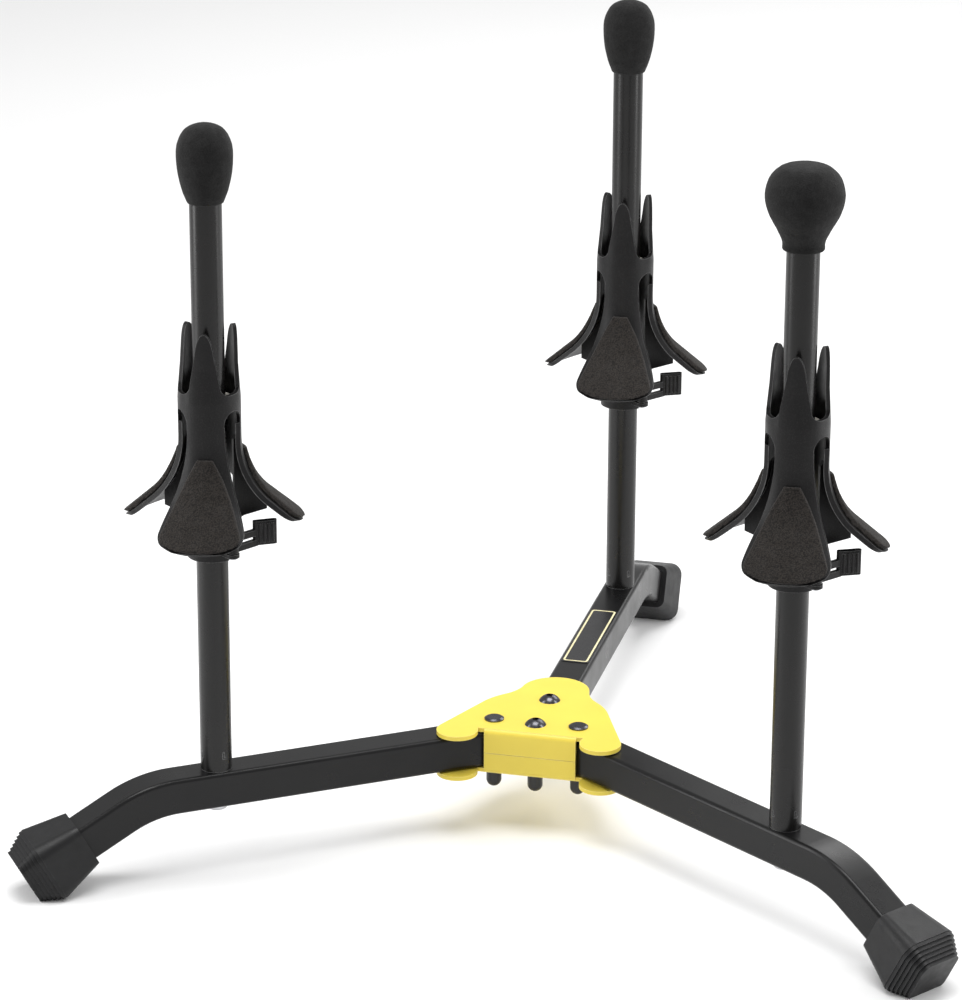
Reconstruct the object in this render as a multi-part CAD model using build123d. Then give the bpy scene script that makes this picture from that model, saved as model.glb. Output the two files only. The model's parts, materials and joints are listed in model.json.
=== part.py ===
from build123d import *
from build123d.topology import SkipClean
from math import cos, sin, radians, degrees, acos, hypot
import os

# Three-peg wind instrument stand with a folding three-leg base, in millimetres.
# +Z is up, +Y points along the fixed rear leg, and the floor is Z = 0.
# Everything is first built about the hub: X = 0 on the rear leg, Y = 0 on the line through both pivots.

# ---------------------------------------------------------------- driving dimensions
# legs
LEG_SIDE = 19.0             # square tube, outside
LEG_WALL = 1.5
LEG_CORNER = 2.2            # outer corner radius of the tube
LEG_AXIS_Z = 44.0           # height of the level part of each leg
LEG_ANGLE = 35.5            # front legs, swept forward from the X axis
LEG_DROP = 28.0             # the outer end of each leg bends down by this angle
BEND_RADIUS = 60.0
BEND_AFTER_POST = 22.5      # from post centre to the start of the bend
PIVOT_X = 22.4              # pivots at plus and minus this
PIVOT_TO_POST = 152.0       # along a front leg
REAR_TO_POST = 211.0        # from the pivot line along the rear leg
REAR_LEG_START = -10.5      # inner end of the rear leg

# hub
PLATE = 2.2                 # sheet thickness of both pressings
WASHER = 0.6                # nylon washers and shims
LOBE_X, LOBE_Y, LOBE_R = 37.8, -17.8, 10.7
WAIST_Y, WAIST_R = 8.0, 36.0
TAIL_Y, TAIL_R = 45.0, 18.0
WAIST_FILLET = 22.0
FLANGE_HALF = 24.2          # half width of the bent front flange
FLANGE_FRONT = -15.2        # front face of the flange
FLANGE_TOP_PART = 13.0      # height of the upper pressing's flange
FLANGE_BEND = 2.8           # outer bend radius
SEAM = 0.2
NOTCH_Y = -13.4             # back of the relief beside the flange
FRONT_BOLT_Y = -1.5
REAR_BOLT_Y = 31.5

# fasteners
BOLT_R = 2.5
SLEEVE_R = 4.0
FLAT_HEAD_R, FLAT_HEAD_H = 5.1, 1.3
DOME_HEAD_R, DOME_HEAD_H = 5.6, 3.2
NUT_FLATS, NUT_H = 8.0, 3.2
CAP_R, CAP_LENGTH = 4.0, 9.8
CAP_SOCKET = 4.0            # how far a bolt's end stands in its cap

# feet
FOOT_MOUTH = 24.7           # outside of the boot at its mouth
FOOT_SHOULDER = 34.0
FOOT_CORNERS = (4.5, 7.0, 4.5)   # corner radii at mouth, shoulder and end
FOOT_END = 23.5
FOOT_BODY = 23.2            # mouth to shoulder, along the leg's end
FOOT_NOSE = 12.0            # shoulder to end
FOOT_STEPS = 6
FOOT_POCKET = 19.0
SOLE_WIDTH = 22.0

# posts
POST_R = 8.0
POST_WALL = 1.4
POST_TOP = 337.0            # foam top above the leg
TIP_CORE_DEPTH = 16.0
PLUG_LENGTH = 22.0
POST_SCREW_R = 3.0
SMALL_TIP = dict(height=39.3, belly=13.8, belly_z=22.3, foot=9.1)
LARGE_TIP = dict(height=41.2, belly=18.9, belly_z=25.7, foot=10.1)
TIP_CROWN = 12.0            # foam above the tube's end

# label on the rear leg
LABEL_WIDTH, LABEL_LENGTH, LABEL_THICKNESS = 15.5, 78.0, 0.3
LABEL_Y = 131.0

# cones; heights are from the level of the blade corners
CONE_SHELL = 2.0
CONE_RING_R = 15.6
CONE_LIP_R = 45.7
FLARE_ANGLE = 48.5          # of the blades at the bottom, from vertical
FLARE_R = 42.4
FLARE_TOP = 44.5
RING_LOW, RING_HIGH = 60.5, 69.0
FINGER_TOP = 101.0
FINGER_R = 14.5             # outer radius of the fingers
FINGER_HALF = 7.7            # half width of a finger at the ring
FINGER_TIP_HALF = 4.7       # and below its round end
NECK_HALF = 9.2
BLADE_HALF = 22.0
BLADE_CORNER = 3.6
PAD_MARGIN = 1.0            # blade left bare beside its pad at the lip
PAD_CORNER = 2.6
WINDOW_HALF = 6.2
NOTCH_HALF = 7.7
RIB_THICKNESS = 2.2
RIB_OUTER_R = 29.2
RIB_INNER_R = 11.9
COLLAR_R = 12.4
COLLAR_LOW, COLLAR_HIGH = -18.0, 9.0
COLLAR_BORE_R = 8.7
WEB_HIGH = 63.0
WEB_THICKNESS = 2.1         # leaves its underside clear of the windows' tops
BUSH_R = 9.7
BUSH_BORE_R = 8.06
BUSH_FLANGE_R = 11.0
BUSH_FLANGE_T = 1.5
BUSH_GAP = 0.1              # between a bush's flange and the cone
BUSH_LOW = -2.0             # lower end of the lower bush
UPPER_BUSH = 4.0            # length of the upper bush below its flange
FIT = 0.05                  # radial clearance of a running fit
PAD_THICKNESS = 2.2
CONE_YAW = dict(left=8.0, rear=3.5, right=3.0)   # front blade, turned from straight forward towards +X
CONE_HEIGHT = dict(left=133.5, rear=126.2, right=145.8)   # blade corners above the leg

# release lever, in the cone's own frame with the front blade along -Y
PIN_X, PIN_Y = 12.2, -11.4
PIN_R = 1.25
PIN_HEAD_R, PIN_HEAD_H = 2.2, 0.9
TRIM_R, TRIM_TOP = 70.0, 90.0   # trimming block, well outside the cone
LEVER_Z = -8.0
TAB_Z = -5.6
TAB_HEIGHT = 12.6
TAB_START = (22.0, 0.0)
TAB_END = (30.6, 3.6)
TAB_THICKNESS = 3.0
ARM_HEIGHT = 3.2
ARM_GAP = 2.2
LUG_R = 3.4
LUG_HEIGHT = 2.0
LUG_GAP = 0.4               # between a lug and the lever's arm
ARM_THICKNESS = 2.6
ARM_BOSS_R = 2.9
TONGUE_THICKNESS = 2.4
TONGUE_SHARE = 0.72         # of the way from the pin to the nose
THUMB_RIBS = 4
THUMB_RIB_R = 0.7
BRAKE_SLOT = (9.0, 10.5)    # depth and width of the collar's window for the brake
SPRING_R, SPRING_WIRE, SPRING_PITCH, SPRING_LENGTH = 1.75, 0.2, 0.5, 1.5
NOSE_R = 1.8                # rubber nose that brakes the post
NOSE_ARM = 6.74             # pin to nose: leaves 0.3 mm to the post at rest
NOSE_SWING = 9.0            # nose off the line from pin to post, so pressing opens the gap

LEG_TOP = LEG_AXIS_Z + LEG_SIDE / 2
LEG_BOTTOM = LEG_AXIS_Z - LEG_SIDE / 2
GAP_TOP = LEG_TOP + WASHER
GAP_BOTTOM = LEG_BOTTOM - WASHER
HUB_TOP = GAP_TOP + PLATE
HUB_BOTTOM = GAP_BOTTOM - PLATE
LEVER_HALF = ARM_HEIGHT + ARM_GAP / 2
LUG_START = LEVER_HALF + LUG_GAP
TUBE_TOP = LEG_TOP + POST_TOP - TIP_CROWN
NODES = {}


def put(name, shape):
    """Keeps a finished sub-part, built about the hub, under its node name."""
    NODES[name] = shape


def rod(radius, low, high, x=0.0, y=0.0):
    """Vertical round bar from one height to another."""
    return Pos(x, y, (low + high) / 2) * Cylinder(radius, high - low)


def pipe(outer, inner, low, high, x=0.0, y=0.0):
    """Vertical round tube from one height to another."""
    return rod(outer, low, high, x, y) - rod(inner, low - 1, high + 1, x, y)


def upright(face):
    """Cutter: a face drawn in the (X, Z) plane, pushed along -Y from the axis past every blade."""
    return extrude(face, amount=80, dir=(0, -1, 0))


# ---------------------------------------------------------------- legs
def leg_tube(start, to_post):
    """Square tube along +X: level past the post, bent down, and straight into the foot."""
    bend_start = to_post + BEND_AFTER_POST
    drop = radians(LEG_DROP)
    bend_end = (bend_start + BEND_RADIUS * sin(drop), LEG_AXIS_Z - BEND_RADIUS * (1 - cos(drop)))
    shoulder_z = FOOT_SHOULDER / 2 * cos(drop)
    run = (bend_end[1] - shoulder_z) / sin(drop)
    shoulder = (bend_end[0] + run * cos(drop), shoulder_z)
    back = FOOT_BODY - FOOT_POCKET
    tube_end = (shoulder[0] - back * cos(drop), shoulder[1] + back * sin(drop))
    bend_mid = (bend_start + BEND_RADIUS * sin(drop / 2), LEG_AXIS_Z - BEND_RADIUS * (1 - cos(drop / 2)))
    path = Wire([
        Line((start, 0, LEG_AXIS_Z), (bend_start, 0, LEG_AXIS_Z)),
        ThreePointArc(
            (bend_start, 0, LEG_AXIS_Z), (bend_mid[0], 0, bend_mid[1]), (bend_end[0], 0, bend_end[1])),
        Line((bend_end[0], 0, bend_end[1]), (tube_end[0], 0, tube_end[1])),
    ])
    ring = RectangleRounded(LEG_SIDE, LEG_SIDE, LEG_CORNER)
    ring -= RectangleRounded(LEG_SIDE - 2 * LEG_WALL, LEG_SIDE - 2 * LEG_WALL, LEG_CORNER - LEG_WALL + 0.3)
    section = Plane((start, 0, LEG_AXIS_Z), x_dir=(0, 1, 0), z_dir=(1, 0, 0)) * ring
    return sweep(section, path=path), shoulder


def front_leg():
    """Front leg along +X from its pivot, its inner end rounded about the pivot."""
    tube, shoulder = leg_tube(-LEG_SIDE / 2, PIVOT_TO_POST)
    inner = Pos(-LEG_SIDE / 4, 0, LEG_AXIS_Z) * Box(LEG_SIDE / 2 + 0.2, LEG_SIDE + 2, LEG_SIDE + 2)
    tube -= inner - rod(LEG_SIDE / 2, LEG_BOTTOM - 2, LEG_TOP + 2)
    tube -= rod(SLEEVE_R + 0.06, LEG_BOTTOM - 2, LEG_TOP + 2)
    return drill_for_post(tube, PIVOT_TO_POST), shoulder


def rear_leg():
    """Rear leg along +X from the pivot line, with a hole for each of its two bolts."""
    tube, shoulder = leg_tube(REAR_LEG_START, REAR_TO_POST)
    for y in (FRONT_BOLT_Y, REAR_BOLT_Y):
        tube -= rod(BOLT_R + 0.1, LEG_BOTTOM - 2, LEG_TOP + 2, y)
    return drill_for_post(tube, REAR_TO_POST), shoulder


def drill_for_post(tube, x):
    """Hole through both walls for the screw that holds the post."""
    return tube - rod(POST_SCREW_R + 0.1, LEG_BOTTOM - 2, LEG_TOP + 2, x)


# ---------------------------------------------------------------- feet
def foot(shoulder):
    """Rubber boot in a leg's frame: flared body, stepped nose, flat sole on the floor."""
    drop = radians(LEG_DROP)
    along = (cos(drop), 0, -sin(drop))

    def section(distance, size, corner):
        origin = (shoulder[0] + distance * along[0], 0, shoulder[1] + distance * along[2])
        return Plane(origin, x_dir=(0, 1, 0), z_dir=along) * RectangleRounded(size, size, corner)

    mouth_corner, shoulder_corner, end_corner = FOOT_CORNERS
    body = loft([section(-FOOT_BODY, FOOT_MOUTH, mouth_corner), section(0, FOOT_SHOULDER, shoulder_corner)])
    step = FOOT_NOSE / FOOT_STEPS
    for i in range(FOOT_STEPS):
        share = (i + 0.35) / FOOT_STEPS
        size = FOOT_SHOULDER + (FOOT_END - FOOT_SHOULDER) * share
        corner = shoulder_corner + (end_corner - shoulder_corner) * share
        body += extrude(section(i * step, size, corner), amount=step, dir=along)
    sole_start = shoulder[0] - FOOT_SHOULDER / 2 * sin(drop) + 1.5
    sole_end = shoulder[0] + FOOT_NOSE * cos(drop) - FOOT_END / 2 * sin(drop)
    sole = Pos((sole_start + sole_end) / 2, 0, 3.0) * Box(sole_end - sole_start, SOLE_WIDTH, 6.0)
    body += sole
    body -= Pos(shoulder[0], 0, -10) * Box(80, 60, 20)
    pocket = extrude(section(-FOOT_BODY - 2, LEG_SIDE, LEG_CORNER), amount=FOOT_POCKET + 2, dir=along)
    return body - pocket


# ---------------------------------------------------------------- hub
def hub_outline():
    """Plan of both pressings: two front lobes, a waist and a round tail over the rear leg."""
    sheet = make_hull([
        *[e for x in (-LOBE_X, LOBE_X) for e in (Pos(x, LOBE_Y) * Circle(LOBE_R)).edges()],
        *(Pos(0, WAIST_Y) * Circle(WAIST_R)).edges()])
    sheet += Pos(0, TAIL_Y) * Circle(TAIL_R)
    corners = [v for v in sheet.vertices() if WAIST_Y + 20 < v.Y < TAIL_Y and abs(v.X) > 5]
    sheet = fillet(corners, WAIST_FILLET)
    sheet -= Pos(0, NOTCH_Y - 20) * Rectangle(2 * LOBE_X, 40)
    sheet += [Pos(x, LOBE_Y) * Circle(LOBE_R) for x in (-LOBE_X, LOBE_X)]
    return sheet


def bent_flange(flange):
    """Front flange in one piece with its bend, its sheet part reaching back under the hub's middle."""
    inner_face = FLANGE_FRONT + PLATE
    back = -8.0
    profile = make_face(Polyline(
        (back, PLATE), (FLANGE_FRONT, PLATE), (FLANGE_FRONT, -flange), (inner_face, -flange),
        (inner_face, 0), (back, 0), (back, PLATE)))
    corner = [v for v in profile.vertices() if v.X < FLANGE_FRONT + 0.1 and v.Y > 0.1]
    profile = fillet(corner, FLANGE_BEND)
    return extrude(Plane.YZ * profile, amount=FLANGE_HALF, both=True)


def pressing(flange):
    """Sheet from Z = 0 up to its thickness, with its front flange hanging to -flange."""
    shape = extrude(hub_outline(), amount=PLATE) + bent_flange(flange)
    for x in (-PIVOT_X, PIVOT_X):
        shape -= rod(BOLT_R + 0.05, -2, PLATE + 2, x, 0)
    for y in (FRONT_BOLT_Y, REAR_BOLT_Y):
        shape -= rod(BOLT_R + 0.05, -2, PLATE + 2, 0, y)
    return shape


def bolt(x, y, domed):
    """Bolt down through both pressings, with a flat or a domed head."""
    head_r = DOME_HEAD_R if domed else FLAT_HEAD_R
    head_h = DOME_HEAD_H if domed else FLAT_HEAD_H
    end = HUB_BOTTOM - NUT_H - CAP_SOCKET
    shape = rod(BOLT_R, end, HUB_TOP)
    if domed:
        ball_r = (head_r ** 2 + head_h ** 2) / (2 * head_h)
        dome = Pos(0, 0, HUB_TOP + head_h - ball_r) * Sphere(ball_r)
        shape += dome & rod(head_r, HUB_TOP, HUB_TOP + head_h + 1)
        socket = Pos(0, 0, HUB_TOP + head_h - 1.4) * extrude(RegularPolygon(1.9, 6), amount=3)
        shape -= socket
    else:
        head = rod(head_r, HUB_TOP, HUB_TOP + head_h)
        shape += chamfer(head.edges().group_by(Axis.Z)[-1], 0.6, 1.1)
    return Pos(x, y, 0) * shape


def nut(x, y):
    """Hexagon nut under the lower pressing."""
    flats = RegularPolygon(NUT_FLATS / 2, 6, major_radius=False)
    hexagon = Pos(x, y, HUB_BOTTOM - NUT_H) * extrude(flats, amount=NUT_H)
    return hexagon - rod(BOLT_R, HUB_BOTTOM - NUT_H - 1, HUB_BOTTOM + 1, x, y)


def cap(x, y):
    """Soft cap pushed over a bolt's end, below the nut."""
    top = HUB_BOTTOM - NUT_H
    body = rod(CAP_R, top - CAP_LENGTH + CAP_R, top, x, y)
    body += Pos(x, y, top - CAP_LENGTH + CAP_R) * Sphere(CAP_R)
    return body - rod(BOLT_R, top - CAP_SOCKET, top + 1, x, y)


# ---------------------------------------------------------------- posts
def post_tube():
    """Round tube standing on the leg, with four keyhole punches that lock the plug."""
    tube = pipe(POST_R, POST_R - POST_WALL, LEG_TOP, TUBE_TOP)
    for quarter in range(4):
        slot = Pos(0, -POST_R, LEG_TOP + 9.0) * Box(0.8, 0.8, 3.4)
        slot += Pos(0.5, -POST_R, LEG_TOP + 7.5) * Box(1.6, 0.8, 0.8)
        tube -= Rot(0, 0, 45 + 90 * quarter) * slot
    return tube


def post_plug():
    """Threaded insert inside the lower end of the post."""
    return pipe(POST_R - POST_WALL, POST_SCREW_R, LEG_TOP, LEG_TOP + PLUG_LENGTH)


def post_screw():
    """Pan-head screw up through the leg into the plug."""
    head = rod(5.5, LEG_BOTTOM - 3.2, LEG_BOTTOM)
    head = fillet(head.edges().group_by(Axis.Z)[0], 1.6)
    head -= Pos(0, 0, LEG_BOTTOM - 3.4) * extrude(RegularPolygon(2.2, 6), amount=1.8)
    return head + rod(POST_SCREW_R, LEG_BOTTOM, LEG_TOP + PLUG_LENGTH - 4)


def tip_core():
    """Plastic stopper in the top of the post, with a round head inside the foam."""
    stem = rod(POST_R - POST_WALL, TUBE_TOP - TIP_CORE_DEPTH, TUBE_TOP)
    head = fillet(rod(POST_R, TUBE_TOP, TUBE_TOP + 5.0).edges().group_by(Axis.Z)[-1], 3.0)
    return stem + head


def foam_tip(height, belly, belly_z, foot):
    """Foam knob over the core and the tube's end: rounded crown, full belly, narrow foot."""
    base = LEG_TOP + POST_TOP - height
    crown = Spline((belly, 0, base + belly_z), (0, 0, base + height), tangents=[(0, 0, 1), (-1, 0, 0)])
    flank = Spline((foot, 0, base), (belly, 0, base + belly_z), tangents=[(0.1, 0, 1), (0, 0, 1)])
    close = Polyline((0, 0, base + height), (0, 0, base), (foot, 0, base))
    knob = revolve(make_face([crown, flank, close]), Axis.Z, 360)
    knob -= rod(POST_R, base - 1, TUBE_TOP)
    return knob - fillet(rod(POST_R, TUBE_TOP - 1, TUBE_TOP + 5.0).edges().group_by(Axis.Z)[-1], 3.0)


# ---------------------------------------------------------------- cones
def flare_section(outward, low_r):
    """Blade section in the (X, Z) plane from the lip to the ring, shifted outward from the outer skin."""
    swing = radians(FLARE_ANGLE)
    centre = (CONE_RING_R + FLARE_R, FLARE_TOP)
    radius = FLARE_R - outward
    arc_top = (centre[0] - radius, centre[1])
    arc_mid = (centre[0] - radius * cos(swing / 2), centre[1] - radius * sin(swing / 2))
    arc_low = (centre[0] - radius * cos(swing), centre[1] - radius * sin(swing))
    run = (low_r + outward * cos(swing) - arc_low[0]) / sin(swing)
    lip = (arc_low[0] + run * sin(swing), arc_low[1] - run * cos(swing))
    return arc_top, arc_mid, arc_low, lip


def shell_of_revolution():
    """Thin turned skin that all three blades, the ring and the fingers are cut from."""
    o_top, o_mid, o_low, o_lip = flare_section(0.0, CONE_LIP_R)
    i_top, i_mid, i_low, i_lip = flare_section(-CONE_SHELL, CONE_LIP_R)
    taper = RING_LOW + 5.0
    outer = [(o_top[0], 0, taper), (FINGER_R, 0, taper + 17), (FINGER_R - 0.2, 0, FINGER_TOP + 1)]
    inner = [(x - CONE_SHELL, 0, z) for x, _, z in outer]
    lines = [
        Line((o_lip[0], 0, o_lip[1]), (o_low[0], 0, o_low[1])),
        ThreePointArc((o_low[0], 0, o_low[1]), (o_mid[0], 0, o_mid[1]), (o_top[0], 0, o_top[1])),
        Polyline([(o_top[0], 0, o_top[1])] + outer + inner[::-1] + [(i_top[0], 0, i_top[1])]),
        ThreePointArc((i_top[0], 0, i_top[1]), (i_mid[0], 0, i_mid[1]), (i_low[0], 0, i_low[1])),
        Line((i_low[0], 0, i_low[1]), (i_lip[0], 0, i_lip[1])),
        Line((i_lip[0], 0, i_lip[1]), (o_lip[0], 0, o_lip[1])),
    ]
    return revolve(make_face(lines), Axis.Z, 360)


def blade_outline():
    """Front view of one blade: bowed lip, waist at the ring and a round-tipped finger above."""
    side = ((BLADE_HALF, 1.5), (15.2, 18.5), (10.9, 33.5), (NECK_HALF, FLARE_TOP + 8))
    right = Spline(*[(x, 0, z) for x, z in side], tangents=[(-0.25, 0, 1), (0, 0, 1)])
    left = Spline(*[(-x, 0, z) for x, z in side], tangents=[(0.25, 0, 1), (0, 0, 1)])
    lip = ThreePointArc((-BLADE_HALF, 0, 1.5), (0, 0, -2.6), (BLADE_HALF, 0, 1.5))
    top = Line((NECK_HALF, 0, FLARE_TOP + 8), (-NECK_HALF, 0, FLARE_TOP + 8))
    face = make_face([right, top, left, lip])
    return fillet([v for v in face.vertices() if v.Z < 5], BLADE_CORNER)


def finger_outline():
    """Front view of one finger, from inside the ring to its round tip."""
    side_top = FINGER_TOP - 11.0
    tip = FINGER_TIP_HALF
    arch = Spline((tip, 0, side_top), (0, 0, FINGER_TOP), (-tip, 0, side_top),
                  tangents=[(-0.12, 0, 1), (-0.12, 0, -1)])
    rest = Polyline((-tip, 0, side_top), (-FINGER_HALF, 0, RING_HIGH + 4), (-FINGER_HALF, 0, RING_HIGH - 4),
                    (FINGER_HALF, 0, RING_HIGH - 4), (FINGER_HALF, 0, RING_HIGH + 4), (tip, 0, side_top))
    return make_face([arch, rest])


def cone_body():
    """One moulding: three blades with fingers, ring, web, gussets, collar and lever lugs."""
    shell = shell_of_revolution()
    blade = upright(blade_outline()) + upright(finger_outline())
    body = None
    for turn in (0, 120, 240):
        piece = shell & (Rot(0, 0, turn) * blade)
        body = piece if body is None else body + piece
    band = shell & rod(30, FLARE_TOP + 6.5, RING_HIGH + 5)
    window = Pos(0, 0, RING_LOW - WINDOW_HALF - 10) * Box(2 * WINDOW_HALF, 80, 20)
    window += Pos(0, 0, RING_LOW - WINDOW_HALF) * Rot(90, 0, 0) * Cylinder(WINDOW_HALF, 80)
    window = window & Pos(0, -40, 0) * Box(60, 80, 400)
    notch = Pos(0, 0, RING_HIGH + 10) * Box(2 * NOTCH_HALF, 80, 20)
    notch = fillet(notch.edges().filter_by(Axis.Y).group_by(Axis.Z)[0], 5.5)
    notch = notch & Pos(0, -40, 0) * Box(60, 80, 400)
    for turn in (60, 180, 300):
        band -= Rot(0, 0, turn) * window
        band -= Rot(0, 0, turn) * notch
    body += band
    body += pipe(CONE_RING_R - CONE_SHELL + 0.6, BUSH_R, WEB_HIGH - WEB_THICKNESS, WEB_HIGH)
    gusset = gusset_plate()
    for turn in (0, 120, 240):
        body += Rot(0, 0, turn) * gusset
    body += pipe(COLLAR_R, BUSH_R, -3.0, COLLAR_HIGH)
    body += pipe(COLLAR_R, COLLAR_BORE_R, COLLAR_LOW, -3.0)
    return add_lugs(body)


def gusset_plate():
    """Gusset in the plane of the front blade, trimmed to the blade's inner skin."""
    outline = [(RIB_OUTER_R, 2.4), (17.0, 0.6), (14.8, -0.4), (13.3, -1.8), (12.3, -3.4), (10.4, -3.4),
               (10.4, COLLAR_HIGH - 0.5), (RIB_INNER_R, COLLAR_HIGH - 0.5), (RIB_INNER_R, 41.0),
               (14.2, FLARE_TOP), (RIB_OUTER_R, FLARE_TOP), (RIB_OUTER_R, 2.4)]
    face = make_face(Polyline([(0, -r, z) for r, z in outline]))
    plate = extrude(face, amount=RIB_THICKNESS / 2, both=True)
    return plate - outside_of_shell()


def outside_of_shell():
    """Everything beyond the middle of the blade skin, for trimming the gussets."""
    m_top, m_mid, m_low, m_lip = flare_section(-CONE_SHELL / 2, CONE_LIP_R)
    lines = [
        Line((m_lip[0], 0, m_lip[1]), (m_low[0], 0, m_low[1])),
        ThreePointArc((m_low[0], 0, m_low[1]), (m_mid[0], 0, m_mid[1]), (m_top[0], 0, m_top[1])),
        Polyline(
            (m_top[0], 0, m_top[1]), (m_top[0], 0, TRIM_TOP), (TRIM_R, 0, TRIM_TOP),
            (TRIM_R, 0, m_lip[1]), (m_lip[0], 0, m_lip[1])),
    ]
    return revolve(make_face(lines), Axis.Z, 360)


def add_lugs(body):
    """Two lugs on the collar that hold the lever's pin, and a window for the brake."""
    reach = hypot(PIN_X, PIN_Y)
    heading = -degrees(acos(PIN_X / reach))
    bridge = reach - COLLAR_R + 1.5
    for low in (LEVER_Z + LUG_START, LEVER_Z - LUG_START - LUG_HEIGHT):
        lug = rod(LUG_R, low, low + LUG_HEIGHT, reach, 0)
        lug += Pos(reach - bridge / 2, 0, low + LUG_HEIGHT / 2) * Box(bridge, 2 * LUG_R, LUG_HEIGHT)
        body += Rot(0, 0, heading) * (lug - rod(COLLAR_R - 1.0, low - 1, low + LUG_HEIGHT + 1))
    slot = Pos(COLLAR_R, 0, LEVER_Z) * Box(*BRAKE_SLOT, 2 * LUG_START)
    body -= Rot(0, 0, heading) * slot
    return body - rod(PIN_R + 0.02, LEVER_Z - LUG_START - 2.5, LEVER_Z + LUG_START + 1.2, PIN_X, PIN_Y)


def cone_pads():
    """Three foam pads on the outer faces of the blades."""
    o_top, o_mid, o_low, o_lip = flare_section(0.0, CONE_LIP_R)
    p_top, p_mid, p_low, p_lip = flare_section(PAD_THICKNESS, CONE_LIP_R)
    lines = [
        Line((o_lip[0], 0, o_lip[1]), (o_low[0], 0, o_low[1])),
        ThreePointArc((o_low[0], 0, o_low[1]), (o_mid[0], 0, o_mid[1]), (o_top[0], 0, o_top[1])),
        Line((o_top[0], 0, o_top[1]), (p_top[0], 0, p_top[1])),
        ThreePointArc((p_top[0], 0, p_top[1]), (p_mid[0], 0, p_mid[1]), (p_low[0], 0, p_low[1])),
        Line((p_low[0], 0, p_low[1]), (p_lip[0], 0, p_lip[1])),
        Line((p_lip[0], 0, p_lip[1]), (o_lip[0], 0, o_lip[1])),
    ]
    skin = revolve(make_face(lines), Axis.Z, 360)
    side = [(3.9, 37.5), (9.2, 27.5), (14.3, 16.5), (BLADE_HALF - PAD_MARGIN, 2.6)]
    right = Polyline([(x, 0, z) for x, z in side])
    left = Polyline([(-x, 0, z) for x, z in side])
    top = Line((side[0][0], 0, side[0][1]), (-side[0][0], 0, side[0][1]))
    lip = ThreePointArc((-side[-1][0], 0, side[-1][1]), (0, 0, -0.8), (side[-1][0], 0, side[-1][1]))
    face = make_face([right, left, top, lip])
    trapezium = fillet([v for v in face.vertices() if v.Z < 5], PAD_CORNER)
    pad = skin & upright(trapezium)
    return Compound([Rot(0, 0, turn) * pad.solid() for turn in (0, 120, 240)])


def bush(low, seat):
    """Flanged plastic bush whose flange rests just above a seat."""
    sleeve = pipe(BUSH_R - FIT, BUSH_BORE_R, low, seat + BUSH_GAP + 0.5)
    flange = pipe(BUSH_FLANGE_R, BUSH_BORE_R, seat + BUSH_GAP, seat + BUSH_GAP + BUSH_FLANGE_T)
    return (sleeve + flange).solid()


def guide_bushes():
    """Two flanged bushes that slide on the post and carry the cone."""
    return Compound([bush(BUSH_LOW, COLLAR_HIGH), bush(WEB_HIGH - UPPER_BUSH, WEB_HIGH)])


def slab(start, end, thickness, low, high):
    """Straight bar of rectangular section between two plan points, with round ends."""
    length = hypot(end[0] - start[0], end[1] - start[1])
    heading = degrees(acos((end[0] - start[0]) / length)) * (1 if end[1] >= start[1] else -1)
    bar = Pos((start[0] + end[0]) / 2, (start[1] + end[1]) / 2, (low + high) / 2)
    bar = bar * Rot(0, 0, heading) * Box(length, thickness, high - low)
    return bar + rod(thickness / 2, low, high, *start) + rod(thickness / 2, low, high, *end)


def nose_place():
    """Plan position of the brake pad's centre: against the post, beside the line to the pin."""
    reach = hypot(PIN_X, PIN_Y)
    towards = (-PIN_X / reach, -PIN_Y / reach)
    swing = radians(NOSE_SWING)
    x = towards[0] * cos(swing) - towards[1] * sin(swing)
    y = towards[0] * sin(swing) + towards[1] * cos(swing)
    return PIN_X + NOSE_ARM * x, PIN_Y + NOSE_ARM * y


def thumb_tab():
    """Upright tab at the lever's end, with ribs on the side that the thumb presses."""
    low, high = TAB_Z - TAB_HEIGHT / 2, TAB_Z + TAB_HEIGHT / 2
    tab = slab(TAB_START, TAB_END, TAB_THICKNESS, low, high)
    run = hypot(TAB_END[0] - TAB_START[0], TAB_END[1] - TAB_START[1])
    ux, uy = (TAB_END[0] - TAB_START[0]) / run, (TAB_END[1] - TAB_START[1]) / run
    for i in range(THUMB_RIBS):
        along = run * (0.18 + 0.24 * i)
        x = TAB_START[0] + ux * along + uy * TAB_THICKNESS / 2
        y = TAB_START[1] + uy * along - ux * TAB_THICKNESS / 2
        tab += rod(THUMB_RIB_R, low + 1.2, high - 1.2, x, y)
    return tab


def lever():
    """Release lever: two stacked arms from the pin to a ribbed thumb tab, and a tongue to the post."""
    pin = (PIN_X, PIN_Y)
    low, high = LEVER_Z - LEVER_HALF, LEVER_Z + LEVER_HALF
    body = thumb_tab()
    for arm_low in (low, high - ARM_HEIGHT):
        body += slab(pin, TAB_START, ARM_THICKNESS, arm_low, arm_low + ARM_HEIGHT)
        body += rod(ARM_BOSS_R, arm_low, arm_low + ARM_HEIGHT, *pin)
    nose = nose_place()
    tongue_end = (PIN_X + (nose[0] - PIN_X) * TONGUE_SHARE, PIN_Y + (nose[1] - PIN_Y) * TONGUE_SHARE)
    body += slab(pin, tongue_end, TONGUE_THICKNESS, low, high)
    body -= rod(2.4, LEVER_Z - ARM_GAP / 2, LEVER_Z + ARM_GAP / 2, *pin)
    body -= rod(NOSE_R, low - 1, high + 1, *nose)
    return body - rod(PIN_R + FIT, low - 1, high + 1, *pin)


def brake_pad():
    """Rubber nose on the lever's tongue, just clear of the post."""
    return rod(NOSE_R, LEVER_Z - LEVER_HALF, LEVER_Z + LEVER_HALF, *nose_place())


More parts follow.
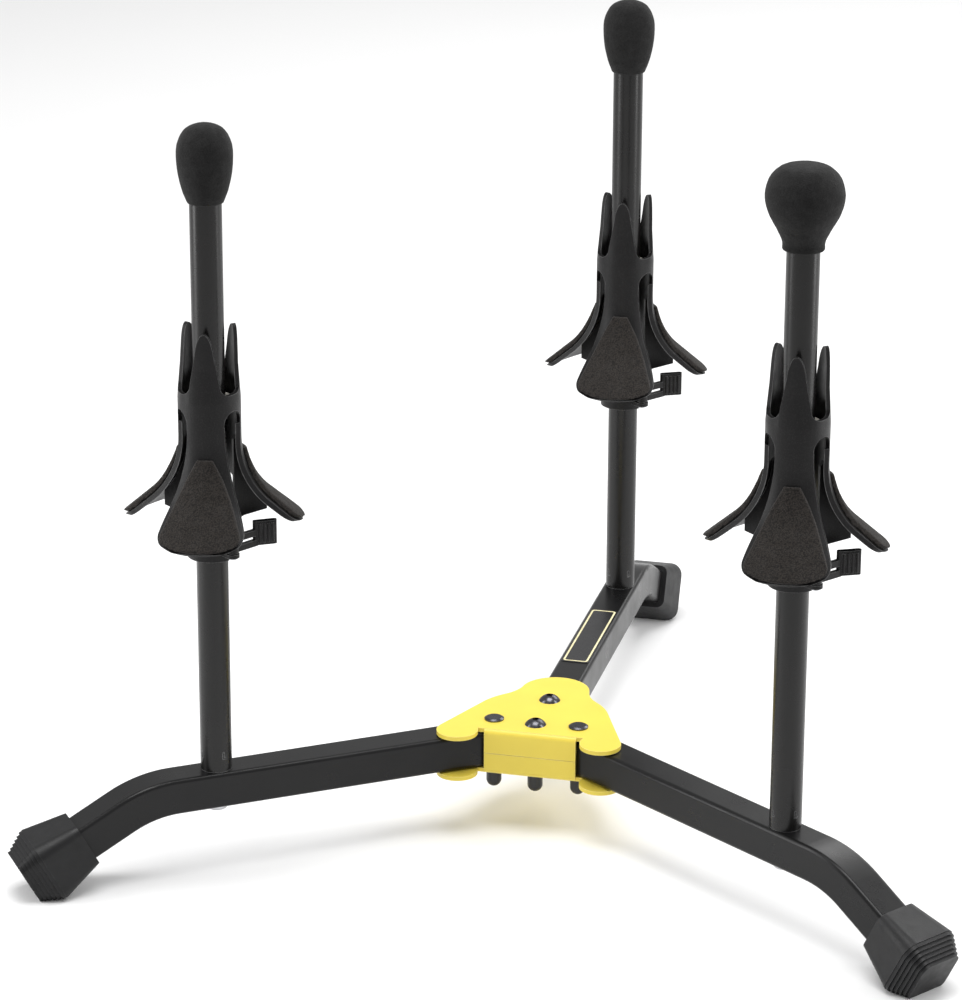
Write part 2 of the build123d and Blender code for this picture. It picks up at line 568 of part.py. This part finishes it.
def lever_pin():
    """Headed pin through both lugs and the lever."""
    low = LEVER_Z - LUG_START - LUG_HEIGHT
    shank = rod(PIN_R, low, LEVER_Z + LUG_START + 1.0, PIN_X, PIN_Y)
    return shank + rod(PIN_HEAD_R, low - PIN_HEAD_H, low, PIN_X, PIN_Y)


def lever_spring():
    """Torsion spring between the arms, wound round the pin."""
    coil = Pos(PIN_X, PIN_Y, LEVER_Z - SPRING_LENGTH / 2) * Helix(SPRING_PITCH, SPRING_LENGTH, SPRING_R)
    section = Plane(coil @ 0, z_dir=coil % 0) * Circle(SPRING_WIRE)
    return sweep(section, path=coil)


# ---------------------------------------------------------------- assembly
def build():
    """Makes every node about the hub."""
    put("hub_top_plate", Pos(0, 0, GAP_TOP) * pressing(FLANGE_TOP_PART - PLATE))
    lower_flange = HUB_TOP - HUB_BOTTOM - FLANGE_TOP_PART - SEAM - PLATE
    put("hub_bottom_plate", Pos(0, 0, GAP_BOTTOM) * mirror(pressing(lower_flange), Plane.XY))
    pivots = dict(left=-PIVOT_X, right=PIVOT_X)
    bolts = ((-PIVOT_X, 0), (PIVOT_X, 0), (0, FRONT_BOLT_Y), (0, REAR_BOLT_Y))
    for side, x in pivots.items():
        put(side + "_pivot_bolt", bolt(x, 0, False))
        put(side + "_pivot_sleeve", pipe(SLEEVE_R, BOLT_R, GAP_BOTTOM, GAP_TOP, x))
        washers = [pipe(8.5, SLEEVE_R, low, low + WASHER, x).solid() for low in (GAP_BOTTOM, LEG_TOP)]
        put(side + "_pivot_washers", Compound(washers))
    put("rear_leg_bolts", Compound([bolt(0, y, True).solid() for y in (FRONT_BOLT_Y, REAR_BOLT_Y)]))
    put("hub_nuts", Compound([nut(x, y).solid() for x, y in bolts]))
    put("hub_bolt_caps", Compound([cap(x, y).solid() for x, y in bolts]))
    put("rear_leg_shims", rear_shims())

    front, front_shoulder = front_leg()
    rear, rear_shoulder = rear_leg()
    places = dict(
        left=Pos(-PIVOT_X, 0, 0) * Rot(0, 0, 180 + LEG_ANGLE),
        right=Pos(PIVOT_X, 0, 0) * Rot(0, 0, -LEG_ANGLE),
        rear=Rot(0, 0, 90))
    for side, place in places.items():
        rear_side = side == "rear"
        put(side + "_leg", place * (rear if rear_side else front))
        put(side + "_foot", place * foot(rear_shoulder if rear_side else front_shoulder))
        to_post = REAR_TO_POST if rear_side else PIVOT_TO_POST
        spot = (place * Pos(to_post, 0, 0)).position
        at_post = Pos(spot.X, spot.Y, 0)
        put(side + "_post", at_post * post_tube())
        put(side + "_post_plug", at_post * post_plug())
        put(side + "_post_screw", at_post * post_screw())
        put(side + "_tip_core", at_post * tip_core())
        put(side + "_tip_foam", at_post * foam_tip(**(LARGE_TIP if side == "right" else SMALL_TIP)))
        at_cone = Pos(spot.X, spot.Y, LEG_TOP + CONE_HEIGHT[side]) * Rot(0, 0, CONE_YAW[side])
        for part, shape in CONE_PARTS.items():
            put(side + "_" + part, at_cone * shape)
    put("label_plate", label_plate())


def rear_shims():
    """Two strips that take up the washers' thickness above and below the rear leg."""
    strips = []
    for low in (GAP_BOTTOM, LEG_TOP):
        strip = Pos(0, 21.0, low + WASHER / 2) * Box(15.0, 60.0, WASHER)
        for y in (FRONT_BOLT_Y, REAR_BOLT_Y):
            strip -= rod(BOLT_R + 0.1, low - 1, low + WASHER + 1, 0, y)
        strips.append(strip.solid())
    return Compound(strips)


def label_plate():
    """Thin blank label on top of the rear leg."""
    outline = RectangleRounded(LABEL_WIDTH, LABEL_LENGTH, 2.0)
    return Pos(0, LABEL_Y, LEG_TOP) * extrude(outline, amount=LABEL_THICKNESS)


# merging the cone's split faces fails on some runs, so they are left split
with SkipClean():
    CONE = cone_body()
CONE_PARTS = dict(
    cone=CONE, cone_pads=cone_pads(), guide_bushes=guide_bushes(), lever=lever(),
    lever_pin=lever_pin(), lever_spring=lever_spring(), brake_pad=brake_pad())
build()
box = Compound([NODES[side + "_foot"] for side in ("left", "right", "rear")]).bounding_box()
shift = -(box.min.Y + box.max.Y) / 2
os.makedirs("parts", exist_ok=True)
for name, shape in NODES.items():
    export_step(Pos(0, shift, 0) * shape, "parts/" + name + ".step")
print("nodes", len(NODES), "hub shifted in Y by", round(shift, 4))
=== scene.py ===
import json
import math

import bmesh
import bpy
from mathutils import Matrix, Vector, noise


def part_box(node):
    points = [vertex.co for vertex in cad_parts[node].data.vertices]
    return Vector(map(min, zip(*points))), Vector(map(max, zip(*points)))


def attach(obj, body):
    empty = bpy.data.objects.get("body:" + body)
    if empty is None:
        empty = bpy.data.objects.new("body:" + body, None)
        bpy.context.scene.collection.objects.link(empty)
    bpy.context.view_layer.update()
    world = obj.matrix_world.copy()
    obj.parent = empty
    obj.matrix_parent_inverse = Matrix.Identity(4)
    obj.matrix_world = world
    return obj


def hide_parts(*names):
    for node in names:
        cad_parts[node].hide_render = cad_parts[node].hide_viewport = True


# Saxophone stand: three foam-tipped pegs with sliding bell cones on a folding base. Metres throughout.

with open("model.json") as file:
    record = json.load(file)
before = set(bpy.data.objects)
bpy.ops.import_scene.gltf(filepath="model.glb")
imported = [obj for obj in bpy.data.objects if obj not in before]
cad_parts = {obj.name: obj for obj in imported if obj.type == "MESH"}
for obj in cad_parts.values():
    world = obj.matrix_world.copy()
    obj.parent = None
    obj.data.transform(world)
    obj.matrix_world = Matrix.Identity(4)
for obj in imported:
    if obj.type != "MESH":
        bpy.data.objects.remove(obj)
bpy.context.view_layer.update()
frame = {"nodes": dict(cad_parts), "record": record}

MM = 0.001
SIDES = ("left", "rear", "right")
PEG_BODY = {"left": "left_leg", "rear": "hub", "right": "right_leg"}
POST_R = 8 * MM

# foam tips: points down the outside in millimetres, each (radius, depth below the crown)
SMALL_TIP = (
    (0, 0), (6.0, 1.2), (10.4, 4.2), (13.3, 10.4),
    (13.8, 17.0), (13.1, 25.0), (11.3, 33.0), (9.2, 38.6),
)
LARGE_TIP = (
    (0, 0), (9.4, 0.9), (14.2, 3.6), (17.4, 8.0), (18.9, 15.5),
    (17.0, 23.6), (12.8, 31.5), (10.3, 37.0), (10.1, 40.6),
)
TIP_PROFILE = {"left": SMALL_TIP, "rear": SMALL_TIP, "right": LARGE_TIP}
TIP_SEGMENTS = 112
TIP_CURVE_STEPS = 9
TIP_BORE_R = POST_R + 0.1 * MM
TIP_BORE_TOP = 12 * MM
TIP_MOUTH_ROUNDING = ((0.25 * MM, 0.15 * MM), (0.6 * MM, 0))  # (inwards, up) from the mouth's outer edge

# foam surface: how far it rises and falls, and over what distance
FOAM_UNEVENNESS = 0.09 * MM
TIP_UNEVENNESS_SIZE = 1.3 * MM
PAD_UNEVENNESS_SIZE = 1.1 * MM

# blade pads
PAD_WELD = 0.01 * MM
PAD_VOXEL = 0.65 * MM
PAD_SMOOTHING = 3
PAD_SMOOTHING_FACTOR = 0.5

# printed line on the label
LABEL_MARGIN_X = 1.0 * MM
LABEL_MARGIN_Y = 1.2 * MM
LABEL_LINE = 1.0 * MM
LABEL_OUTER_CORNER_R = 1.8 * MM
LABEL_INNER_CORNER_R = 1.1 * MM
LABEL_CORNER_STEPS = 8
INK_THICKNESS = 0.06 * MM

# floor and surroundings
FLOOR_SIZE = 7.0
FLOOR_SQUARES = 8
FLOOR_DROP = 0.2 * MM
WORLD_WHITE = (1, 1, 1, 1)
WORLD_STRENGTH = 0.58

# camera: fitted to the posts, hub and feet
PICTURE_WIDTH = 962
SENSOR = 36.0
FOCAL_PX = 4200
AZIMUTH = math.radians(-13.60)
ELEVATION = math.radians(20.20)
ROLL = math.radians(0.23)
CAMERA_DISTANCE = 2.136
AIM_ASIDE = -29.1 * MM
AIM_HEIGHT = 179.4 * MM


# ---------------------------------------------------------------- materials
class Finish:
    """A node material, built up from colour patches, speckles, a bump and lighter edges that are part wear
    and part painted highlight.
    """

    COAT_ROUGHNESS = 0.2
    ROUGHNESS_PATCH = 0.6  # size of the roughness patches, as a share of the colour patches
    ROUGHNESS_SPREAD = 0.12
    EDGE_SAMPLES = 4
    EDGE_FROM, EDGE_TO = 0.75, 0.99  # agreement of the rounded and the flat normal, from the full lighter edge (wear and painted highlight) to none
    EDGE_BREAK_SIZE = 4 * MM
    EDGE_LEAST_SHARE = 0.35

    def __init__(self, name, colour, roughness, metallic=0.0, coat=0.0, specular=0.5):
        self.material = bpy.data.materials.new(name)
        self.material.use_nodes = True
        self.nodes = self.material.node_tree.nodes
        self.links = self.material.node_tree.links
        self.shader = self.nodes["Principled BSDF"]
        self.shader.inputs["Metallic"].default_value = metallic
        self.shader.inputs["Coat Weight"].default_value = coat
        self.shader.inputs["Coat Roughness"].default_value = self.COAT_ROUGHNESS
        self.shader.inputs["Specular IOR Level"].default_value = specular
        self.roughness = roughness
        self.place = self.nodes.new("ShaderNodeTexCoord").outputs["Object"]
        self.colour = None
        self.base = colour

    def noise(self, size, detail=3.0):
        """Noise whose features are about size metres across."""
        node = self.nodes.new("ShaderNodeTexNoise")
        node.inputs["Scale"].default_value = 1 / size
        node.inputs["Detail"].default_value = detail
        self.links.new(self.place, node.inputs["Vector"])
        return node.outputs["Fac"]

    def cells(self, size):
        """Distance to the middle of the nearest of many small cells, each about size metres across."""
        node = self.nodes.new("ShaderNodeTexVoronoi")
        node.inputs["Scale"].default_value = 1 / size
        self.links.new(self.place, node.inputs["Vector"])
        return node.outputs["Distance"]

    def spread(self, value, low, high, from_low=0.3, from_high=0.7):
        """Value, mapped from its own range onto low to high."""
        node = self.nodes.new("ShaderNodeMapRange")
        limits = {"From Min": from_low, "From Max": from_high, "To Min": low, "To Max": high}
        for socket, number in limits.items():
            node.inputs[socket].default_value = number
        self.links.new(value, node.inputs["Value"])
        return node.outputs["Result"]

    def mix(self, share, first, second):
        """Colour between two, each given as numbers or as a socket."""
        node = self.nodes.new("ShaderNodeMix")
        node.data_type = "RGBA"
        self.links.new(share, node.inputs["Factor"])
        for name, value in (("A", first), ("B", second)):
            socket = next(s for s in node.inputs if s.name == name and s.type == "RGBA")
            if isinstance(value, tuple):
                socket.default_value = (*value, 1.0)
            else:
                self.links.new(value, socket)
        return next(s for s in node.outputs if s.type == "RGBA")

    def patches(self, size, amount):
        """Base colour, lighter and darker in patches, and roughness that varies in smaller ones."""
        lighter = tuple(min(1.0, c * (1 + amount)) for c in self.base)
        darker = tuple(c * (1 - amount) for c in self.base)
        self.colour = self.mix(self.spread(self.noise(size), 0.0, 1.0), darker, lighter)
        smoothest = self.roughness * (1 - self.ROUGHNESS_SPREAD)
        roughest = self.roughness * (1 + self.ROUGHNESS_SPREAD)
        rough = self.spread(self.noise(size * self.ROUGHNESS_PATCH), smoothest, roughest)
        self.links.new(rough, self.shader.inputs["Roughness"])

    def speckle(self, height, colour, low, high):
        """A second colour that comes in as the grain's height goes from low to high."""
        self.colour = self.mix(self.spread(height, 0.0, 1.0, low, high), self.colour, colour)

    def bump(self, height, depth):
        """Relief of about depth metres from the grain."""
        node = self.nodes.new("ShaderNodeBump")
        node.inputs["Distance"].default_value = depth
        self.links.new(height, node.inputs["Height"])
        self.links.new(node.outputs["Normal"], self.shader.inputs["Normal"])

    def worn_and_highlit_edges(self, width, colour, strength):
        """A lighter line along the edges, broken up by noise: part rubbed wear, part painted highlight
        where the rounded edges would catch the lamps.
        """
        bevel = self.nodes.new("ShaderNodeBevel")
        bevel.samples = self.EDGE_SAMPLES
        bevel.inputs["Radius"].default_value = width
        flat = self.nodes.new("ShaderNodeNewGeometry").outputs["Normal"]
        dot = self.nodes.new("ShaderNodeVectorMath")
        dot.operation = "DOT_PRODUCT"
        self.links.new(bevel.outputs["Normal"], dot.inputs[0])
        self.links.new(flat, dot.inputs[1])
        edge = self.spread(dot.outputs["Value"], strength, 0.0, self.EDGE_FROM, self.EDGE_TO)
        broken = self.spread(self.noise(self.EDGE_BREAK_SIZE), self.EDGE_LEAST_SHARE, 1.0)
        share = self.nodes.new("ShaderNodeMath")
        share.operation = "MULTIPLY"
        self.links.new(edge, share.inputs[0])
        self.links.new(broken, share.inputs[1])
        self.colour = self.mix(share.outputs["Value"], self.colour, colour)

    def done(self):
        """Joins the colour to the shader and gives the material."""
        self.links.new(self.colour, self.shader.inputs["Base Color"])
        return self.material


def yellow_paint():
    f = Finish("yellow_paint", (0.76, 0.60, 0.080), roughness=0.36, coat=0.1, specular=0.3)
    f.patches(size=30 * MM, amount=0.03)
    f.bump(f.noise(size=1.6 * MM), depth=0.015 * MM)
    # pale yellow edge line: part wear, part painted highlight along the plate edges
    f.worn_and_highlit_edges(width=0.5 * MM, colour=(1.0, 0.93, 0.52), strength=0.7)
    return f.done()


def satin_black(name, colour, roughness, specular):
    f = Finish(name, colour, roughness, specular=specular)
    f.patches(size=25 * MM, amount=0.15)
    f.bump(f.noise(size=0.9 * MM), depth=0.012 * MM)
    # lighter grey edge line: part wear, part painted highlight along the rounded edges
    f.worn_and_highlit_edges(width=0.8 * MM, colour=(0.32, 0.32, 0.325), strength=0.8)
    return f.done()


def boot_rubber():
    f = Finish("boot_rubber", (0.008, 0.008, 0.0085), roughness=0.44, specular=0.28)
    f.patches(size=9 * MM, amount=0.2)
    f.bump(f.noise(size=0.5 * MM), depth=0.04 * MM)
    # lighter edge line: part wear, part painted highlight on the boots' edges
    f.worn_and_highlit_edges(width=0.6 * MM, colour=(0.05, 0.05, 0.052), strength=0.6)
    return f.done()


def moulded_plastic():
    f = Finish("black_plastic", (0.0055, 0.0052, 0.0055), roughness=0.40, specular=0.20)
    f.patches(size=12 * MM, amount=0.15)
    grain = f.noise(size=0.55 * MM)
    f.speckle(grain, colour=(0.014, 0.0135, 0.0135), low=0.5, high=0.72)
    f.bump(grain, depth=0.09 * MM)
    # lighter edge line: part wear, part painted highlight on the thin edges of the cones
    f.worn_and_highlit_edges(width=0.5 * MM, colour=(0.24, 0.24, 0.24), strength=0.75)
    return f.done()


# edge colour of a plain finish, part rubbed wear and part painted highlight: its own colour times the
# gain, plus the lift
WEAR_AND_HIGHLIGHT_GAIN = 1.9
WEAR_AND_HIGHLIGHT_LIFT = 0.02


def plain_finish(name, colour, roughness, metallic=0.0):
    f = Finish(name, colour, roughness, metallic)
    f.patches(size=4 * MM, amount=0.12)
    f.bump(f.noise(size=0.4 * MM), depth=0.008 * MM)
    wear_and_highlight_colour = tuple(min(1.0, c * WEAR_AND_HIGHLIGHT_GAIN + WEAR_AND_HIGHLIGHT_LIFT) for c in colour)
    f.worn_and_highlit_edges(width=0.3 * MM, colour=wear_and_highlight_colour, strength=0.5)
    return f.done()


def foam(name, colour, rim, cell, depth):
    """Foam with a pattern of small cells: the rim colour shows at their edges, which the bump raises."""
    f = Finish(name, colour, roughness=0.93, specular=0.2)
    f.patches(size=7 * MM, amount=0.07)
    f.shader.inputs["Sheen Weight"].default_value = 0.05
    f.shader.inputs["Sheen Roughness"].default_value = 0.6
    height = f.cells(size=cell)
    f.speckle(height, rim, low=0.25, high=0.75)
    f.bump(height, depth)
    return f.done()


BLACK_PAINT = (0.006, 0.0059, 0.0062)
BLACK_POST = (0.006, 0.0057, 0.0056)
TIP_COLOUR, TIP_RIM = (0.010, 0.0097, 0.0098), (0.004, 0.004, 0.004)
PAD_COLOUR, PAD_RIM = (0.026, 0.022, 0.019), (0.007, 0.006, 0.0055)

MATERIALS = {
    "yellow_paint": yellow_paint(),
    "black_paint": satin_black("black_paint", BLACK_PAINT, roughness=0.30, specular=0.26),
    "post_paint": satin_black("post_paint", BLACK_POST, roughness=0.28, specular=0.33),
    "boot_rubber": boot_rubber(),
    "black_steel": plain_finish("black_steel", (0.09, 0.09, 0.10), roughness=0.25, metallic=1.0),
    "cap_vinyl": plain_finish("cap_vinyl", (0.010, 0.010, 0.010), roughness=0.38),
    "nylon": plain_finish("nylon", (0.60, 0.58, 0.52), roughness=0.5),
    "black_plastic": moulded_plastic(),
    "tip_foam": foam("tip_foam", TIP_COLOUR, TIP_RIM, cell=0.55 * MM, depth=0.12 * MM),
    "pad_foam": foam("pad_foam", PAD_COLOUR, PAD_RIM, cell=0.7 * MM, depth=0.25 * MM),
    "label": plain_finish("label", (0.010, 0.010, 0.011), roughness=0.3),
    "zinc_steel": plain_finish("zinc_steel", (0.50, 0.50, 0.52), roughness=0.35, metallic=1.0),
    "label_ink": plain_finish("label_ink", (0.72, 0.62, 0.34), roughness=0.4),
}

SLOT = {row["node"]: row["material_slot"] for row in frame["record"]["subparts"]}
for node_name, node in frame["nodes"].items():
    node.data.materials.clear()
    node.data.materials.append(MATERIALS[SLOT[node_name]])


# ---------------------------------------------------------------- pieces
def add_piece(name, mesh, material, body):
    """Smooth-shaded piece with its finish, riding on a body."""
    piece = bpy.data.objects.new(name, mesh)
    bpy.context.scene.collection.objects.link(piece)
    for face in mesh.polygons:
        face.use_smooth = True
    mesh.materials.clear()
    mesh.materials.append(MATERIALS[material])
    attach(piece, body)
    return piece


def curve_through(points, steps):
    """Catmull-Rom points through (x, y) pairs, led in by the second pair mirrored, for a round crown."""
    ahead = [(-points[1][0], points[1][1])] + list(points)
    ahead.append((2 * points[-1][0] - points[-2][0], 2 * points[-1][1] - points[-2][1]))
    smooth = []
    for i in range(1, len(ahead) - 2):
        p0, p1, p2, p3 = (Vector(p) for p in ahead[i - 1:i + 3])
        for k in range(steps):
            t = k / steps
            smooth.append(0.5 * (2 * p1 + (p2 - p0) * t + (2 * p0 - 5 * p1 + 4 * p2 - p3) * t * t
                                 + (3 * p1 - p0 - 3 * p2 + p3) * t * t * t))
    smooth.append(Vector(points[-1]))
    return smooth


def rough_up(mesh, amount, size):
    """Moves every point along its normal by smooth noise."""
    for vertex in mesh.vertices:
        vertex.co += vertex.normal * amount * noise.noise(vertex.co / size)


def foam_tip(side):
    """Turned foam knob, round at its mouth, with the bore that the post goes into."""
    low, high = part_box(side + "_tip_foam")
    centre = (low + high) / 2
    outside = [p * MM for p in curve_through(TIP_PROFILE[side], TIP_CURVE_STEPS)]
    bottom = high.z - low.z
    mouth = outside[-1].x
    outline = [(p.x, p.y) for p in outside[1:]]
    outline += [(mouth - inwards, bottom - up) for inwards, up in TIP_MOUTH_ROUNDING]
    outline += [(TIP_BORE_R, bottom), (TIP_BORE_R, TIP_BORE_TOP)]
    mesh = bmesh.new()
    crown = mesh.verts.new((centre.x, centre.y, high.z))
    ceiling = mesh.verts.new((centre.x, centre.y, high.z - TIP_BORE_TOP))
    rings = []
    for radius, depth in outline:
        ring = []
        for i in range(TIP_SEGMENTS):
            a = 2 * math.pi * i / TIP_SEGMENTS
            place = (centre.x + radius * math.cos(a), centre.y + radius * math.sin(a), high.z - depth)
            ring.append(mesh.verts.new(place))
        rings.append(ring)
    for i in range(TIP_SEGMENTS):
        j = (i + 1) % TIP_SEGMENTS
        mesh.faces.new((crown, rings[0][i], rings[0][j]))
        mesh.faces.new((ceiling, rings[-1][j], rings[-1][i]))
        for upper, lower in zip(rings, rings[1:]):
            mesh.faces.new((upper[i], lower[i], lower[j], upper[j]))
    bmesh.ops.recalc_face_normals(mesh, faces=mesh.faces)
    data = bpy.data.meshes.new(side + "_foam_knob")
    mesh.to_mesh(data)
    mesh.free()
    rough_up(data, FOAM_UNEVENNESS, TIP_UNEVENNESS_SIZE)
    piece = add_piece(side + "_foam_knob", data, "tip_foam", PEG_BODY[side])
    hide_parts(side + "_tip_foam")


def islands(mesh):
    """Groups of faces that hang together."""
    remaining = set(mesh.faces)
    while remaining:
        group, queue = set(), [next(iter(remaining))]
        while queue:
            face = queue.pop()
            if face in group:
                continue
            group.add(face)
            queue += [f for edge in face.edges for f in edge.link_faces if f not in group]
        remaining -= group
        yield group


def foam_pads(side):
    """The three blade pads, each its own foam piece, remeshed and smoothed so that its edges are soft."""
    node = side + "_cone_pads"
    source = bpy.data.objects.new("pad_source", frame["nodes"][node].data.copy())
    bpy.context.scene.collection.objects.link(source)
    weld = source.modifiers.new("weld", "WELD")
    weld.merge_threshold = PAD_WELD
    remesh = source.modifiers.new("remesh", "REMESH")
    remesh.mode = "VOXEL"
    remesh.voxel_size = PAD_VOXEL
    smooth = source.modifiers.new("smooth", "SMOOTH")
    smooth.factor = PAD_SMOOTHING_FACTOR
    smooth.iterations = PAD_SMOOTHING
    finished = source.evaluated_get(bpy.context.evaluated_depsgraph_get())
    whole = bpy.data.meshes.new_from_object(finished)
    bpy.data.objects.remove(source)
    low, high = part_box(side + "_post")
    axis = (low + high) / 2
    mesh = bmesh.new()
    mesh.from_mesh(whole)
    groups = sorted(islands(mesh), key=lambda g: blade_angle(g, axis))
    for number, group in enumerate(groups, 1):
        one = bmesh.new()
        made = {}
        for face in sorted(group, key=lambda f: f.index):
            for v in face.verts:
                if v not in made:
                    made[v] = one.verts.new(v.co)
            one.faces.new([made[v] for v in face.verts])
        name = f"{side}_foam_pad_{number}"
        data = bpy.data.meshes.new(name)
        one.to_mesh(data)
        one.free()
        rough_up(data, FOAM_UNEVENNESS, PAD_UNEVENNESS_SIZE)
        piece = add_piece(name, data, "pad_foam", side + "_cone")
        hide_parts(node)
    mesh.free()


def blade_angle(group, axis):
    """Bearing of a pad from the post, 0 to a full turn."""
    centre = sum((f.calc_center_median() for f in group), Vector()) / len(group)
    return math.atan2(centre.y - axis.y, centre.x - axis.x) % (2 * math.pi)


def rounded_rectangle(half_x, half_y, radius):
    """Points round a rectangle with round corners, anticlockwise."""
    points = []
    for quarter, (sx, sy) in enumerate(((1, 1), (-1, 1), (-1, -1), (1, -1))):
        for k in range(LABEL_CORNER_STEPS + 1):
            a = math.pi / 2 * (quarter + k / LABEL_CORNER_STEPS)
            x = sx * (half_x - radius) + radius * math.cos(a)
            y = sy * (half_y - radius) + radius * math.sin(a)
            points.append((x, y))
    return points


def label_border():
    """Thin printed frame round the blank label."""
    low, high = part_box("label_plate")
    centre = (low + high) / 2
    half_x = (high.x - low.x) / 2 - LABEL_MARGIN_X
    half_y = (high.y - low.y) / 2 - LABEL_MARGIN_Y
    outer = rounded_rectangle(half_x, half_y, LABEL_OUTER_CORNER_R)
    inner = rounded_rectangle(half_x - LABEL_LINE, half_y - LABEL_LINE, LABEL_INNER_CORNER_R)
    top = high.z + INK_THICKNESS
    mesh = bmesh.new()
    loops = []
    for outline, z in ((outer, high.z), (outer, top), (inner, top), (inner, high.z)):
        loops.append([mesh.verts.new((centre.x + x, centre.y + y, z)) for x, y in outline])
    for first, second in zip(loops, loops[1:] + loops[:1]):
        for i in range(len(outer)):
            j = (i + 1) % len(outer)
            mesh.faces.new((first[i], first[j], second[j], second[i]))
    bmesh.ops.recalc_face_normals(mesh, faces=mesh.faces)
    data = bpy.data.meshes.new("label_border")
    mesh.to_mesh(data)
    mesh.free()
    add_piece("label_border", data, "label_ink", "hub")


for peg in SIDES:
    foam_tip(peg)
    foam_pads(peg)
label_border()


# ---------------------------------------------------------------- room, lights and camera
def floor():
    """Wide pale floor, a little below the soles."""
    mesh = bmesh.new()
    bmesh.ops.create_grid(mesh, x_segments=FLOOR_SQUARES, y_segments=FLOOR_SQUARES, size=FLOOR_SIZE)
    data = bpy.data.meshes.new("floor")
    mesh.to_mesh(data)
    mesh.free()
    f = Finish("floor", (0.86, 0.86, 0.86), roughness=0.9, specular=0.1)
    f.patches(size=400 * MM, amount=0.005)
    data.materials.append(f.done())
    ground = bpy.data.objects.new("floor", data)
    ground.location.z = -FLOOR_DROP
    bpy.context.scene.collection.objects.link(ground)


def softbox(name, place, target, width, height, watts):
    """Rectangular light that faces the target and is itself not seen by the camera."""
    light = bpy.data.lights.new(name, "AREA")
    light.shape = "RECTANGLE"
    light.size = width
    light.size_y = height
    light.energy = watts
    lamp = bpy.data.objects.new(name, light)
    lamp.location = place
    lamp.rotation_euler = (Vector(target) - Vector(place)).to_track_quat("-Z", "Y").to_euler()
    lamp.visible_camera = False
    bpy.context.scene.collection.objects.link(lamp)


def camera():
    """Camera at the fitted place, tilted down, with no lens shift."""
    level = math.cos(ELEVATION)
    forward = Vector((math.sin(AZIMUTH) * level, math.cos(AZIMUTH) * level, -math.sin(ELEVATION)))
    right = Vector((math.cos(AZIMUTH), -math.sin(AZIMUTH), 0))
    up = right.cross(forward)
    turned_right = right * math.cos(ROLL) + up * math.sin(ROLL)
    turned_up = up * math.cos(ROLL) - right * math.sin(ROLL)
    pivot_low, pivot_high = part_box("left_pivot_bolt")
    aim = right * AIM_ASIDE + Vector((0, (pivot_low.y + pivot_high.y) / 2, AIM_HEIGHT))
    lens = bpy.data.cameras.new("camera")
    lens.sensor_fit = "HORIZONTAL"
    lens.sensor_width = SENSOR
    lens.lens = FOCAL_PX * SENSOR / PICTURE_WIDTH
    eye = bpy.data.objects.new("camera", lens)
    turn = Matrix((turned_right, turned_up, -forward)).transposed().to_4x4()
    eye.matrix_world = Matrix.Translation(aim - forward * CAMERA_DISTANCE) @ turn
    bpy.context.scene.collection.objects.link(eye)
    bpy.context.scene.camera = eye


MIDDLE = (0, 0, 0.15)
POSTS_MIDDLE = (0, 0, 0.22)

floor()
softbox("left", place=(-0.90, -0.42, 0.50), target=POSTS_MIDDLE, width=0.30, height=0.95, watts=5.5)
softbox("right", place=(0.92, 0.02, 0.50), target=POSTS_MIDDLE, width=0.26, height=0.95, watts=4.5)
softbox("back", place=(0.6, 1.6, 1.3), target=MIDDLE, width=1.4, height=0.8, watts=14)
softbox("top", place=(0, -0.30, 2.2), target=MIDDLE, width=1.4, height=1.2, watts=36)
camera()

world = bpy.data.worlds.new("studio")
world.use_nodes = True
background = world.node_tree.nodes["Background"]
background.inputs["Color"].default_value = WORLD_WHITE
background.inputs["Strength"].default_value = WORLD_STRENGTH
bpy.context.scene.world = world
bpy.context.scene.view_settings.view_transform = "Standard"
